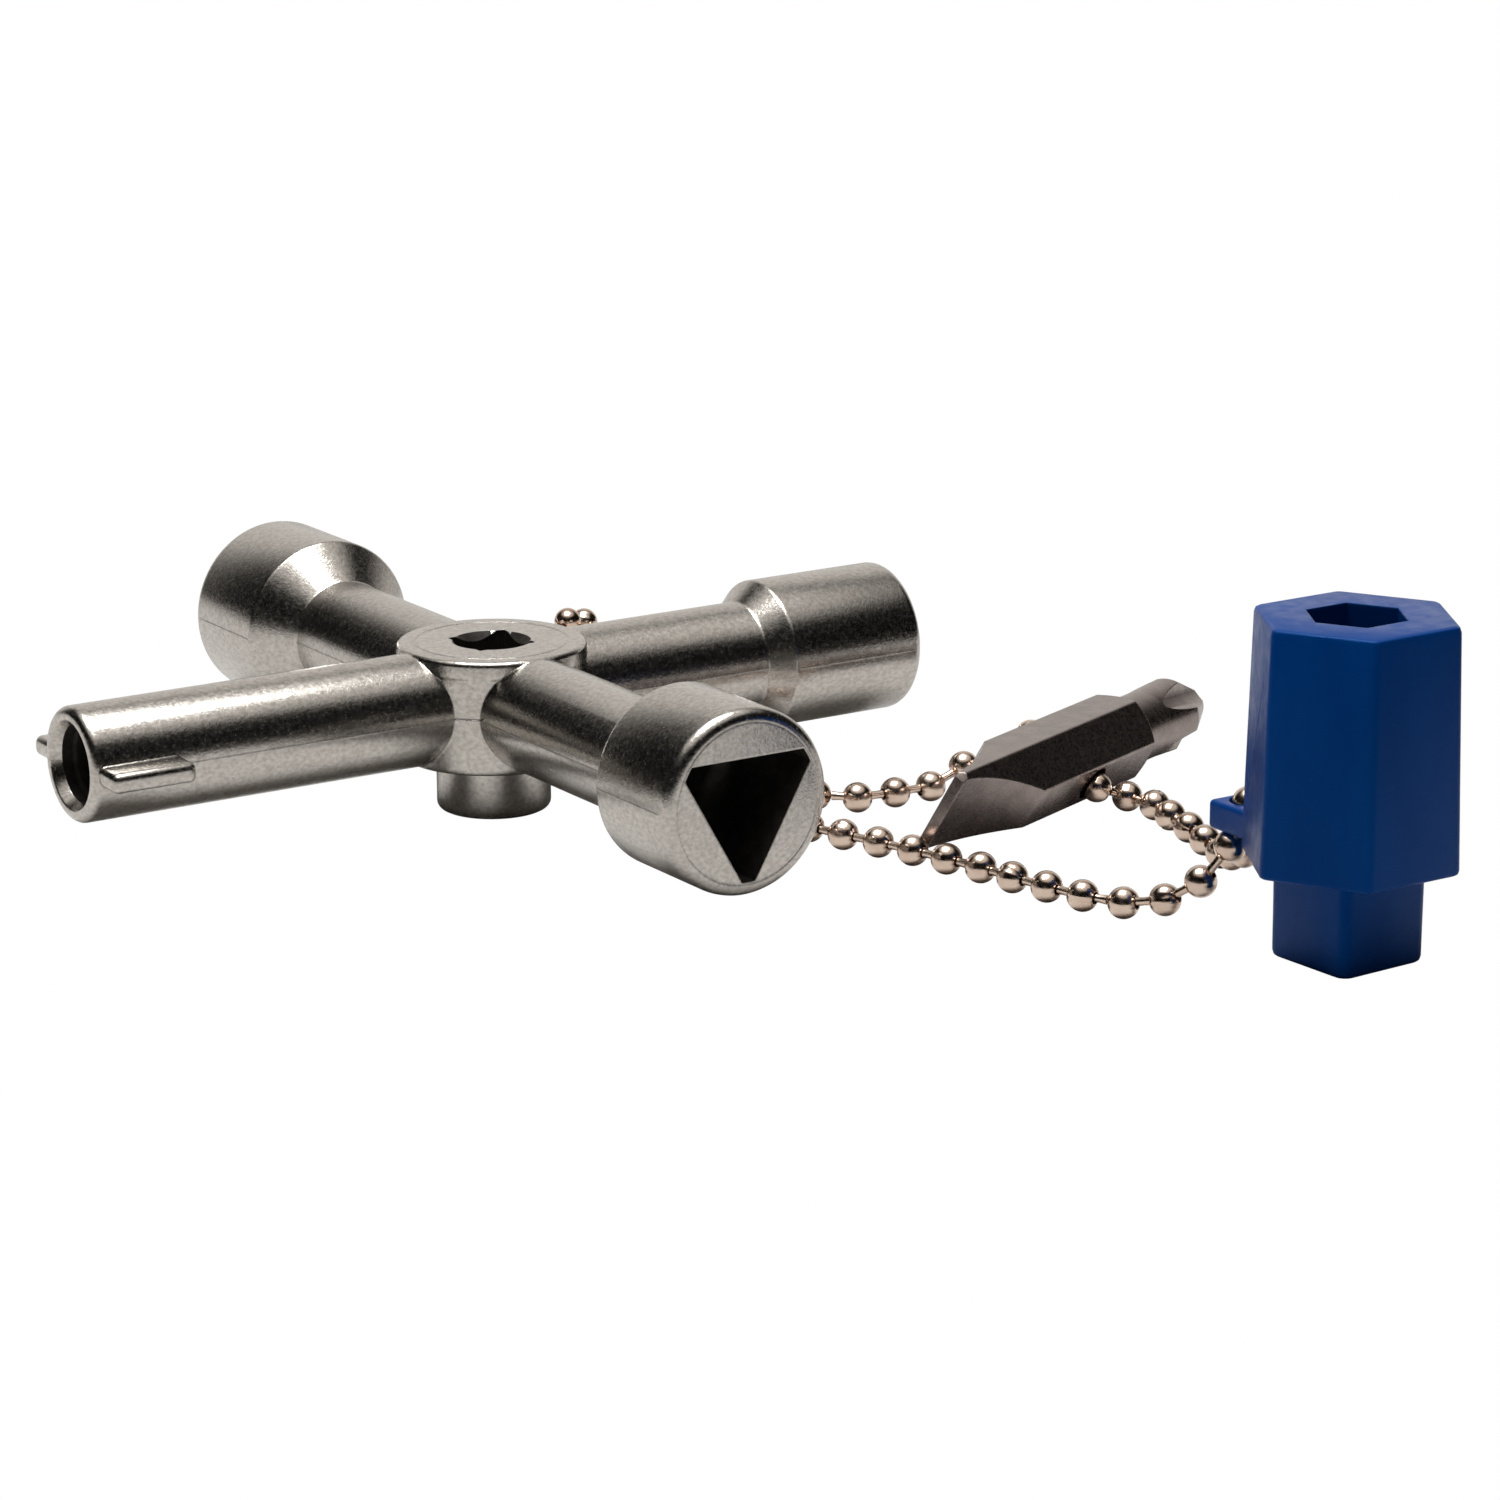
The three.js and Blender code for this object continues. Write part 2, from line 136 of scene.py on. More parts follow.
def lathe(profile, steps=ROUND):
    """A closed solid of revolution about +Z from (radius, height) points."""
    bm = bmesh.new()
    rings = []
    for radius, height in profile:
        count = 1 if radius < 1e-6 else steps
        angles = [2 * math.pi * k / steps for k in range(count)]
        rings.append(
            [bm.verts.new((radius * math.cos(a), radius * math.sin(a), height)) for a in angles]
        )
    for low, high in zip(rings, rings[1:]):
        for k in range(steps):
            quad = [low[k % len(low)], low[(k + 1) % len(low)]]
            quad += [high[(k + 1) % len(high)], high[k % len(high)]]
            corners = list(dict.fromkeys(quad))
            if len(corners) > 2:
                bm.faces.new(corners)
    bmesh.ops.recalc_face_normals(bm, faces=bm.faces)
    return bm


def loft(sections):
    """A closed solid through rings of points, capped at both ends."""
    bm = bmesh.new()
    rings = [[bm.verts.new(point) for point in section] for section in sections]
    for low, high in zip(rings, rings[1:]):
        for k in range(len(low)):
            following = (k + 1) % len(low)
            bm.faces.new((low[k], low[following], high[following], high[k]))
    bm.faces.new(rings[0][::-1])
    bm.faces.new(rings[-1])
    bmesh.ops.recalc_face_normals(bm, faces=bm.faces)
    return bm


def prism(outline, low, high):
    """An upright solid with the given (x, y) outline."""
    return loft([[(x, y, z) for x, y in outline] for z in (low, high)])


def polygon(sides, radius, turn=0.0, corner=0.0):
    """Corners of a regular polygon, first corner at turn degrees, rounded if asked."""
    angles = [math.radians(turn + 360 * k / sides) for k in range(sides)]
    points = [(radius * math.cos(a), radius * math.sin(a)) for a in angles]
    if corner:
        return rounded([(x, y, corner) for x, y in points], steps=4)
    return points


def soft_box(low, high, edge):
    """A box with rounded edges."""
    bm = bmesh.new()
    bmesh.ops.create_cube(bm, size=1)
    low, high = Vector(low), Vector(high)
    for vert in bm.verts:
        vert.co = Vector(low[i] + (vert.co[i] + 0.5) * (high[i] - low[i]) for i in range(3))
    bmesh.ops.bevel(bm, geom=bm.edges[:], offset=edge, segments=4, profile=0.5, affect="EDGES")
    return bm


# ---- objects ------------------------------------------------------------------------------
def as_object(bm, name="tool", matrix=None):
    if matrix is not None:
        bm.transform(matrix)
    mesh = bpy.data.meshes.new(name)
    bm.to_mesh(mesh)
    bm.free()
    made = bpy.data.objects.new(name, mesh)
    bpy.context.scene.collection.objects.link(made)
    return made


def combine(target, tool_bm, operation, matrix=None):
    """Applies one boolean to the target and throws the tool away."""
    tool = as_object(tool_bm, "tool", matrix)
    modifier = target.modifiers.new("combine", "BOOLEAN")
    modifier.operation = operation
    modifier.solver = "MANIFOLD"
    modifier.object = tool
    bpy.context.view_layer.update()
    evaluated = target.evaluated_get(bpy.context.evaluated_depsgraph_get())
    result = bpy.data.meshes.new_from_object(evaluated)
    target.modifiers.clear()
    old = target.data
    target.data = result
    bpy.data.meshes.remove(old)
    bpy.data.objects.remove(tool)


def finish_piece(piece, name, material, body, node, sharp=35):
    """Moves a piece drawn in millimetres into the CAD frame, and hands it to the frame."""
    piece.name = name
    mesh = piece.data
    mesh.name = name
    mesh.transform(TO_ROW)
    mesh.shade_smooth()
    mesh.set_sharp_from_angle(angle=math.radians(sharp))
    mesh.materials.clear()
    mesh.materials.append(material)
    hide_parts(node)
    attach(piece, body)


def on_arm(degrees, distance=0.0):
    """Carries a shape drawn about +Z out along an arm at an angle from +X."""
    out = Matrix.Rotation(math.radians(degrees), 4, "Z")
    lay = Matrix.Rotation(math.radians(90), 4, "Y")
    return out @ Matrix.Translation((distance, 0, ARM_Z)) @ lay


# ---- materials -----------------------------------------------------------------------------
class Nodes:
    """A short way to build a node material."""

    def __init__(self, name):
        self.material = bpy.data.materials.new(name)
        self.material.use_nodes = True
        self.tree = self.material.node_tree
        self.shader = self.tree.nodes["Principled BSDF"]

    def add(self, kind, links=None, **values):
        node = self.tree.nodes.new(kind)
        for key, value in values.items():
            setattr(node, key, value)
        for socket, source in (links or {}).items():
            self.tree.links.new(source, node.inputs[socket])
        return node

    def noise(self, scale, detail=4.0, stretch=(1, 1, 1)):
        """A noise value in object space, where one unit of scale is one cycle per metre."""
        place = self.add("ShaderNodeTexCoord").outputs["Object"]
        mapping = self.add("ShaderNodeMapping", {"Vector": place})
        mapping.inputs["Scale"].default_value = stretch
        texture = self.add("ShaderNodeTexNoise", {"Vector": mapping.outputs[0]})
        texture.inputs["Scale"].default_value = scale
        texture.inputs["Detail"].default_value = detail
        return texture.outputs["Fac"]

    def ramp(self, value, *stops):
        """Colours or grey levels along a value; each stop is (position, colour)."""
        node = self.add("ShaderNodeValToRGB", {"Fac": value})
        elements = node.color_ramp.elements
        while len(elements) < len(stops):
            elements.new(0.5)
        for element, (position, colour) in zip(elements, stops):
            element.position = position
            grey = isinstance(colour, (int, float))
            element.color = (colour, colour, colour, 1) if grey else (*colour, 1)
        return node.outputs["Color"]

    def bump(self, height, distance, strength, normal=None):
        links = {"Height": height}
        if normal is not None:
            links["Normal"] = normal
        node = self.add("ShaderNodeBump", links)
        node.inputs["Distance"].default_value = distance
        node.inputs["Strength"].default_value = strength
        return node.outputs["Normal"]

    def rounded_edges(self, radius):
        node = self.add("ShaderNodeBevel")
        node.samples = 6
        node.inputs["Radius"].default_value = radius
        return node.outputs["Normal"]

    def link(self, source, socket):
        self.tree.links.new(source, self.shader.inputs[socket])

    def set(self, **values):
        for key, value in values.items():
            self.shader.inputs[key.replace("_", " ")].default_value = value


def zinc_material():
    """Nickel-plated die-cast zinc: satin, slightly mottled, with fine casting grain."""
    n = Nodes("plated_zinc")
    n.set(Metallic=1.0)
    dull, bright = (0.34, (0.385, 0.365, 0.337)), (0.64, (0.53, 0.507, 0.473))
    n.link(n.ramp(n.noise(2600, 7, (1, 1, 1.3)), dull, bright), "Base Color")
    cloud = n.noise(3200, 6)
    n.link(n.ramp(cloud, (0.3, 0.17), (0.72, 0.29)), "Roughness")
    edges = n.rounded_edges(0.00022)
    grain = n.bump(n.noise(5600, 4), 0.00002, 0.55, edges)
    n.link(n.bump(n.noise(1500, 3), 0.00003, 0.08, grain), "Normal")
    return n.material


def socket_shade_material():
    """Painted shade: a near-black, dull metal with a random tone that stands in for the shade deep
    inside the sockets.
    """
    n = Nodes("socket_painted_shade")
    n.set(Metallic=0.3, Specular_IOR_Level=0.2)
    tint = n.noise(800, 5)
    n.link(n.ramp(tint, (0.3, (0.012, 0.010, 0.009)), (0.75, (0.04, 0.035, 0.03))), "Base Color")
    n.link(n.ramp(n.noise(2200, 4), (0.3, 0.5), (0.75, 0.8)), "Roughness")
    n.link(n.bump(n.noise(4200, 3), 0.00002, 0.4), "Normal")
    return n.material


def nickel_material():
    """The bead chain's nickel, warm, bright and lightly rubbed."""
    n = Nodes("bead_nickel")
    n.set(Metallic=1.0)
    tint = n.noise(500, 4)
    n.link(n.ramp(tint, (0.3, (0.56, 0.43, 0.35)), (0.7, (0.68, 0.56, 0.47))), "Base Color")
    n.link(n.ramp(n.noise(2600, 5), (0.3, 0.14), (0.75, 0.28)), "Roughness")
    n.link(n.bump(n.noise(5200, 3), 0.00001, 0.25), "Normal")
    return n.material


def steel_material():
    """Phosphated tool steel, dark and evenly grained, with a softer shine on the edges."""
    n = Nodes("dark_steel")
    n.set(Metallic=1.0)
    tint = n.noise(700, 6)
    n.link(n.ramp(tint, (0.3, (0.21, 0.175, 0.165)), (0.7, (0.29, 0.245, 0.23))), "Base Color")
    n.link(n.ramp(n.noise(3000, 6), (0.3, 0.24), (0.75, 0.34)), "Roughness")
    edges = n.rounded_edges(0.00014)
    n.link(n.bump(n.noise(9000, 3), 0.00001, 0.2, edges), "Normal")
    return n.material


def plastic_material():
    """Moulded blue plastic: satin, with faint flow marks, dust specks and rubbed patches."""
    n = Nodes("blue_plastic")
    flow = n.noise(220, 5, (1, 1, 0.3))
    base = n.ramp(flow, (0.3, (0.0, 0.03, 0.165)), (0.72, (0.0, 0.04, 0.20)))
    specks = n.ramp(n.noise(5200, 2), (0.70, 0.0), (0.78, 0.55))
    dusty = n.add("ShaderNodeMix", data_type="RGBA")
    n.tree.links.new(specks, dusty.inputs["Factor"])
    n.tree.links.new(base, dusty.inputs["A"])
    dusty.inputs["B"].default_value = (0.01, 0.07, 0.25, 1)
    n.link(dusty.outputs["Result"], "Base Color")
    n.link(n.ramp(n.noise(900, 6), (0.3, 0.30), (0.75, 0.47)), "Roughness")
    n.set(Specular_IOR_Level=0.25, Specular_Tint=(0.05, 0.35, 1.0, 1))
    edges = n.rounded_edges(0.00025)
    n.link(n.bump(n.noise(2600, 4), 0.00002, 0.3, edges), "Normal")
    return n.material


# ---- the key --------------------------------------------------------------------------------
def head_profile(radius, neck, shoulder, end, rim):
    """A round arm that widens into a socket head with a rounded rim and a fine ring."""
    ring = radius - rim
    return rounded(
        [
            (0, 0),
            (ARM_R, 0),
            (ARM_R, neck, 0.35),
            (radius, shoulder, 0.4),
            (radius, end, rim),
            (ring - 0.02, end),
            (ring - 0.08, end - 0.06),
            (ring - 0.14, end),
            (0, end),
        ]
    )


def tube_profile():
    """The barrel arm: a rounded rim, a chamfered mouth and a stepped blind bore."""
    bore_r, bore_floor = 2.65, 20.35
    return rounded(
        [
            (0, 0),
            (TUBE_R, 0),
            (TUBE_R, TUBE_END, 0.7),
            (3.45, TUBE_END, 0.15),
            (2.95, 35.5, 0.2),
            (2.9, 34.7, 0.1),
            (bore_r, 34.5, 0.1),
            (bore_r, bore_floor),
            (0, bore_floor),
        ]
    )


def hub_profile():
    """The hub with its stub foot below, a flange lip and a fine groove round the top."""
    return rounded(
        [
            (0, 0),
            (STUB_R, 0, 0.6),
            (STUB_R, HUB_LOW, 0.3),
            (HUB_R, HUB_LOW, 0.5),
            (HUB_R - 0.12, 11.9, 0.3),
            (HUB_R, 12.15, 0.1),
            (HUB_R, HUB_TOP, 0.4),
            (6.1, HUB_TOP),
            (6.0, HUB_TOP - 0.07),
            (5.9, HUB_TOP),
            (0, HUB_TOP),
        ]
    )


def seam_lines():
    """The casting's parting line: a hair of flash along both sides of every arm."""
    half = 0.03
    low, high = ARM_Z - half, ARM_Z + half
    lines = []
    for degrees, start, reach, radius in (
        (180, 0.0, 29.0, TUBE_R),
        (270, 0.0, 26.9, ARM_R),
        (0, 0.0, 23.4, ARM_R),
        (90, 0.0, 24.6, ARM_R),
        (270, 27.2, 35.6, TRIANGLE_R),
        (0, 25.0, 36.2, SMALL_R),
        (90, 27.2, 36.1, LARGE_R),
    ):
        half_width = radius + half
        box = soft_box((start, -half_width, low), (reach, half_width, high), 0.02)
        lines.append((box, Matrix.Rotation(math.radians(degrees), 4, "Z")))
    hub_line = lathe([(0, low), (HUB_R + half, low), (HUB_R + half, high), (0, high)])
    lines.append((hub_line, None))
    return lines


def triangle_outline(in_radius=3.43, corner_radius=5.9):
    """A triangle, apex down, whose corners are cut to a circle."""
    half_cut = math.radians(60) - math.acos(in_radius / corner_radius)
    points = []
    for corner in (-90, 30, 150):
        for share in (-1, -0.4, 0.4, 1):
            angle = math.radians(corner) + share * half_cut
            points.append((corner_radius * math.cos(angle), corner_radius * math.sin(angle)))
    return points


def square_outline(side, corner=0.15):
    half = side / 2
    signs = ((1, -1), (1, 1), (-1, 1), (-1, -1))
    return rounded([(half * x, half * y, corner) for x, y in signs], steps=3)


def paint_socket_shade(key, material, shade_inset=0.35):
    """Gives the faces inside the sockets, bore and passage the painted-shade material, a
    near-black colour that stands in for the shade deep in each hollow. The last argument is
    how far in from a mouth the painted shade starts. Each hollow is told by how far off its
    axis a face lies, with a limit just beyond the hollow's own corners."""
    passage_r, triangle_r, large_r, small_r, bore_r = 3.6, 6.0, 5.8, 4.4, 3.0
    deepest = SOCKET_DEPTH + 0.1
    key.data.materials.append(material)
    to_drawing = TO_ROW.inverted()
    for face in key.data.polygons:
        x, y, z = to_drawing @ face.center
        off_x_arms, off_y_arms = math.hypot(y, z - ARM_Z), math.hypot(x, z - ARM_Z)
        inside = (
            (math.hypot(x, y) < passage_r and 0.3 < z < HUB_TOP - 0.1)
            or (off_y_arms < triangle_r and shade_inset < TRIANGLE_END + y < deepest)
            or (off_y_arms < large_r and shade_inset < LARGE_END - y < deepest)
            or (off_x_arms < small_r and shade_inset < SMALL_END - x < deepest)
            or (off_x_arms < bore_r and x < -20.0 and shade_inset < TUBE_END + x)
        )
        # A face in a hollow gets the painted-shade material.
        face.material_index = int(inside)


def add_wings(key):
    """The flat wing on each side of the barrel arm, near its mouth."""
    outer_end, inner_end = -36.0, -29.2
    root, tip = 3.6, 7.0
    low, high = 8.03, 9.58
    for side in (-1, 1):
        near, far = sorted((root * side, tip * side))
        wing = soft_box((outer_end, near, low), (inner_end, far, high), 0.55)
        combine(key, wing, "UNION")


def cut_passage(key):
    """The square passage down through the hub, with a 90 degree countersink on top."""
    combine(key, prism(square_outline(HUB_SQUARE), -1, HUB_TOP + 1), "DIFFERENCE")
    sink = lathe([(0, HUB_TOP - 3.1), (4.1, HUB_TOP + 1), (0, HUB_TOP + 1)])
    combine(key, sink, "DIFFERENCE")


def cut_sockets(key):
    """The triangle and the two squares, each cut in from the end of its arm."""
    depth = SOCKET_DEPTH + 1
    upright = Matrix.Rotation(math.radians(90), 4, "Z")
    bottom = on_arm(270, TRIANGLE_END - SOCKET_DEPTH) @ upright
    combine(key, prism(triangle_outline(), 0, depth), "DIFFERENCE", bottom)
    for side, degrees, end in ((SMALL_SQUARE, 0, SMALL_END), (LARGE_SQUARE, 90, LARGE_END)):
        bottom = on_arm(degrees, end - SOCKET_DEPTH)
        combine(key, prism(square_outline(side), 0, depth), "DIFFERENCE", bottom)


def make_key(material, inside):
    """The whole casting but for the lug that the chain passes through, which only the CAD has."""
    key = as_object(lathe(hub_profile()), "key_casting")
    arms = (
        (head_profile(TRIANGLE_R, 26.93, 26.93, TRIANGLE_END, 0.9), 270),
        (head_profile(SMALL_R, 23.0, 24.8, SMALL_END, 0.8), 0),
        (head_profile(LARGE_R, 24.2, 27.0, LARGE_END, 0.8), 90),
        (tube_profile(), 180),
    )
    for profile, degrees in arms:
        combine(key, lathe(profile), "UNION", on_arm(degrees))
    add_wings(key)
    for line, matrix in seam_lines():
        combine(key, line, "UNION", matrix)
    cut_passage(key)
    cut_sockets(key)
    finish_piece(key, "key_casting", material, "key", "key_body", sharp=32)
    # Paints shade into the hollows of the sockets, bore and passage.
    paint_socket_shade(key, inside)


# ---- the adapter ------------------------------------------------------------------------------
def stack(sides, turn, corner, rings):
    """A solid through level polygons with rounded corners; each ring is (height, radius)."""
    sections = []
    for height, radius in rings:
        outline = polygon(sides, radius, turn, corner)
        sections.append([(x, y, height) for x, y in outline])
    return loft(sections)


def make_adapter(material):
    foot, top, turn = 7.06, 24.92, 0.4
    hexagon = (
        (foot, 7.85),
        (foot + 0.12, 8.05),
        (foot + 0.4, 8.13),
        (top - 0.45, 7.66),
        (top - 0.12, 7.54),
        (top, 7.3),
    )
    square_foot = ((0, 5.3), (0.12, 5.47), (0.4, 5.56), (foot + 1, 5.62))
    socket_flats, socket_floor = 6.5, 9.92
    adapter = as_object(stack(6, turn, 0.55, hexagon), "hex_adapter")
    combine(adapter, stack(4, 48, 0.8, square_foot), "UNION")
    combine(adapter, soft_box((-4.3, 6.0, 7.7), (0.0, 10.6, 9.85), 0.35), "UNION")
    socket = prism(polygon(6, socket_flats / math.sqrt(3), turn), socket_floor, top + 1)
    combine(adapter, socket, "DIFFERENCE")
    hole = lathe([(0, 6.0), (1.4, 6.0), (1.4, 11.0), (0, 11.0)], SMALL_ROUND)
    combine(adapter, hole, "DIFFERENCE", Matrix.Translation((-2.2, 8.6, 0)))
    adapter.data.transform(Matrix.Translation(ADAPTER))
    finish_piece(adapter, "hex_adapter", material, "adapter", "adapter", sharp=30)


# ---- the driver bit ------------------------------------------------------------------------------
BIT_AXIS = Matrix.Rotation(math.radians(90), 4, "Y")
HEX_END = 9.62
BLADE_TIP = -17.1


def cheek_outline(tip_thickness=0.9, grind_start=-7.9, grind_radius=22.0, steps=16):
    """What the wheel takes from one side of the blade, seen along the blade's width."""
    run = grind_start - BLADE_TIP
    rise = BIT_FLATS / 2 + 0.05 - tip_thickness / 2
    line = [(BLADE_TIP - 1, 6.0), (BLADE_TIP - 1, tip_thickness / 2)]
    for step in range(steps + 1):
        share = step / steps
        sag = share * (1 - share) * run * run / (2 * grind_radius)
        line.append((BLADE_TIP + share * run, tip_thickness / 2 + share * rise - sag))
    line.append((grind_start, 6.0))
    return line


def chamfered_ends():
    """The turned shape that the hexagon bar is cut down to at both ends."""
    return lathe(
        [
            (0, BLADE_TIP),
            (3.1, BLADE_TIP),
            (3.75, BLADE_TIP + 0.6),
            (3.75, HEX_END - 0.9),
            (2.8, HEX_END),
            (0, HEX_END),
        ]
    )


def cross_point():
    """The round shank and its pointed end, before the flutes are cut."""
    profile = [
        (0, HEX_END - 1),
        (2.75, HEX_END - 1),
        (2.75, 13.0, 2.0),
        (2.95, 17.2, 0.5),
        (1.35, 20.85, 0.3),
        (0.8, 21.3),
        (0, 21.3),
    ]
    return lathe(rounded(profile), SMALL_ROUND)


def cut_flutes(bit):
    """Four round grooves, which lean in toward the tip and leave a cross."""
    radius, length, start, offset = 1.5, 10, 13.4, 4.25
    lean = Matrix.Rotation(math.radians(-12), 4, "Z")
    for quarter in range(4):
        spin = Matrix.Rotation(math.radians(45 + 90 * quarter), 4, "X")
        groove = lathe([(0, 0), (radius, 0), (radius, length), (0, length)], SMALL_ROUND)
        place = spin @ Matrix.Translation((start, offset, 0)) @ lean @ BIT_AXIS
        combine(bit, groove, "DIFFERENCE", place)


def make_bit(material):
    corner = BIT_FLATS / math.sqrt(3)
    bar = prism(polygon(6, corner, 90, 0.3), BLADE_TIP - 1, HEX_END + 1)
    bit = as_object(bar, "bit", BIT_AXIS)
    combine(bit, chamfered_ends(), "INTERSECT", BIT_AXIS)
    drill = lathe([(0, -6), (1.5, -6), (1.5, 6), (0, 6)], SMALL_ROUND)
    across = Matrix.Rotation(BIT_TILT - math.radians(90), 4, "X")
    combine(bit, drill, "DIFFERENCE", Matrix.Translation((0.68, 0, 0)) @ across)
    combine(bit, cross_point(), "UNION", BIT_AXIS)
    for side in (0, math.pi):
        tilt = Matrix.Rotation(BIT_TILT, 4, "X") @ Matrix.Rotation(side, 4, "X")
        combine(bit, prism(cheek_outline(), -6, 6), "DIFFERENCE", tilt)
    cut_flutes(bit)
    bit.data.transform(Matrix.Translation(BIT) @ Matrix.Rotation(BIT_AZIMUTH, 4, "Z"))
    finish_piece(bit, "driver_bit_steel", material, "bit", "driver_bit", sharp=28)


# ---- the chain --------------------------------------------------------------------------------
# The route is part.mjs's own, in millimetres about the hub axis: each leg starts and ends
# on the centre of a bead.
LEGS = {
    "front_near": [
        (16.0, -25.4, FLOOR_Z),
        (17.1, -28.7, FLOOR_Z),
        (18.0, -31.9, FLOOR_Z),
        (18.8, -35.1, FLOOR_Z),
        (19.6, -38.3, FLOOR_Z),
    ],
    "front_far": [
        (19.6, -38.3, FLOOR_Z),
        (20.1, -41.8, FLOOR_Z),
        (20.8, -45.1, FLOOR_Z),
        (21.7, -48.5, FLOOR_Z),
        (23.0, -51.3, FLOOR_Z),
    ],
    "tab_rise": [
        (23.0, -51.3, FLOOR_Z),
        (24.4, -54.2, 1.9),
        (25.6, -56.9, 3.8),
        (27.1, -58.2, 6.4),
        (28.3, -58.77, 9.7),
    ],
    "tab_fall": [
        (28.3, -58.77, 9.7),
        (31.2, -58.4, 11.3),
        (32.7, -57.3, 9.0),
        (33.3, -55.4, 6.4),
        (33.9, -53.2, 4.4),
        (34.6, -50.7, 3.0),
        (35.6, -48.1, 2.0),
        (36.9, -45.2, FLOOR_Z),
    ],
    "back_far": [
        (36.9, -45.2, FLOOR_Z),
        (38.0, -41.8, FLOOR_Z),
        (39.2, -38.2, FLOOR_Z),
        (40.0, -35.0, FLOOR_Z),
    ],
    "back_near": [
        (40.0, -35.0, FLOOR_Z),
        (40.8, -31.7, FLOOR_Z),
        (40.3, -29.2, 1.3),
        (37.55, -28.83, 2.39),
    ],
    "bit_thread": [
        (37.55, -28.83, 2.39),
        (36.44, -26.14, 4.07),
        (35.32, -23.45, 5.75),
        (34.7, -21.0, 3.6),
        (32.5, -18.1, 2.4),
    ],
    "head_run": [
        (32.5, -18.1, 2.4),
        (29.4, -18.0, FLOOR_Z),
        (26.0, -17.9, FLOOR_Z),
        (22.8, -17.5, FLOOR_Z),
        (20.5, -15.0, FLOOR_Z),
    ],
    "slack_out": [
        (20.5, -15.0, FLOOR_Z),
        (20.0, -9.0, FLOOR_Z),
        (20.5, -3.0, FLOOR_Z),
        (21.5, 4.0, FLOOR_Z),
        (26.0, 10.5, FLOOR_Z),
        (33.0, 14.5, FLOOR_Z),
    ],
    "closing": [
        (33.0, 14.5, FLOOR_Z),
        (35.9, 16.2, FLOOR_Z),
        (38.4, 18.4, FLOOR_Z),
    ],
    "slack_round": [
        (38.4, 18.4, FLOOR_Z),
        (41.2, 23.5, FLOOR_Z),
        (41.2, 30.0, FLOOR_Z),
        (38.6, 34.9, FLOOR_Z),
        (34.4, 38.3, FLOOR_Z),
    ],
    "slack_bend": [
        (34.4, 38.3, FLOOR_Z),
        (33.5, 41.5, 1.9),
        (30.7, 39.7, 2.7),
        (27.9, 38.2, FLOOR_Z),
    ],
    "slack_home": [
        (27.9, 38.2, FLOOR_Z),
        (24.5, 32.5, FLOOR_Z),
        (20.5, 24.5, FLOOR_Z),
        (16.0, 17.8, FLOOR_Z),
        (12.6, 13.6, 3.6),
        (11.4, 11.9, 6.8),
        (10.2, 10.5, 9.7),
        (8.3, 8.6, 11.0),
        (7.2, 7.2, 8.1),
    ],
    "lug_drop": [
        (7.2, 7.2, 8.1),
        (8.4, 7.6, 5.0),
        (10.2, 7.2, 2.4),
        (11.4, 4.4, FLOOR_Z),
        (11.9, -1.0, FLOOR_Z),
        (12.3, -7.0, FLOOR_Z),
        (12.9, -12.5, FLOOR_Z),
        (13.8, -18.0, FLOOR_Z),
        (16.0, -25.4, FLOOR_Z),
    ],
}
CLOSING_LEG = "closing"
BODY_OF_LEG = {
    "front_far": "chain_mid",
    "back_far": "chain_mid",
    "tab_rise": "chain_tip",
    "tab_fall": "chain_tip",
}


def centripetal(points, samples=40):
    """Points along a centripetal Catmull-Rom curve whose end tangents run straight on."""
    points = [Vector(point) for point in points]
    padded = [2 * points[0] - points[1], *points, 2 * points[-1] - points[-2]]
    line = [points[0]]
    for a, b, c, d in zip(padded, padded[1:], padded[2:], padded[3:]):
        t1 = (b - a).length ** 0.5
        t2 = t1 + (c - b).length ** 0.5
        t3 = t2 + (d - c).length ** 0.5
        for step in range(1, samples + 1):
            t = t1 + (t2 - t1) * step / samples
            ab = a.lerp(b, t / t1)
            bc = b.lerp(c, (t - t1) / (t2 - t1))
            cd = c.lerp(d, (t - t2) / (t3 - t2))
            abc = ab.lerp(bc, t / t2)
            bcd = bc.lerp(cd, (t - t1) / (t3 - t1))
            line.append(abc.lerp(bcd, (t - t1) / (t2 - t1)))
    return line


def bead_centres(leg):
    """Bead centres evenly spaced along a leg, without its last, which the next leg has."""
    line = centripetal(leg)
    distances = [0.0]
    for a, b in zip(line, line[1:]):
        distances.append(distances[-1] + (b - a).length)
    links = round(distances[-1] / BEAD_PITCH)
    centres = []
    for link in range(links):
        wanted = distances[-1] * link / links
        index = max(i for i, distance in enumerate(distances) if distance <= wanted)
        share = (wanted - distances[index]) / (distances[index + 1] - distances[index])
        centre = line[index].lerp(line[index + 1], share)
        centre.z = max(centre.z, FLOOR_Z)
        centres.append(centre)
    return centres


def facing(direction, start, roll=0.0):
    """Carries +Z onto a direction at a point, rolled about it."""
    turn = direction.to_track_quat("Z", "Y").to_matrix().to_4x4()
    return Matrix.Translation(start) @ turn @ Matrix.Rotation(roll, 4, "Z")


def bead_mesh():
    """One bead, drawn solid: round, with a dimple at each end and a seam down one side."""
    hole = PIN_R + 0.1
    dimple_z = 0.8
    start = math.asin(hole / BEAD_R)
    rows, columns = 14, 40
    profile = [(hole, -dimple_z)]
    for row in range(rows + 1):
        angle = start + (math.pi - 2 * start) * row / rows
        profile.append((BEAD_R * math.sin(angle), -BEAD_R * math.cos(angle)))
    profile.append((hole, dimple_z))
    bm = lathe([(0, -dimple_z), *profile, (0, dimple_z)], columns)
    seam_depth, seam_width = 0.09, 0.05
    for vert in bm.verts:
        across = abs(math.atan2(vert.co.y, vert.co.x)) * vert.co.xy.length
        if vert.co.xy.length > hole + 0.05 and vert.co.x > 0 and across < seam_width:
            vert.co.xy *= 1 - seam_depth / vert.co.xy.length
    return bm


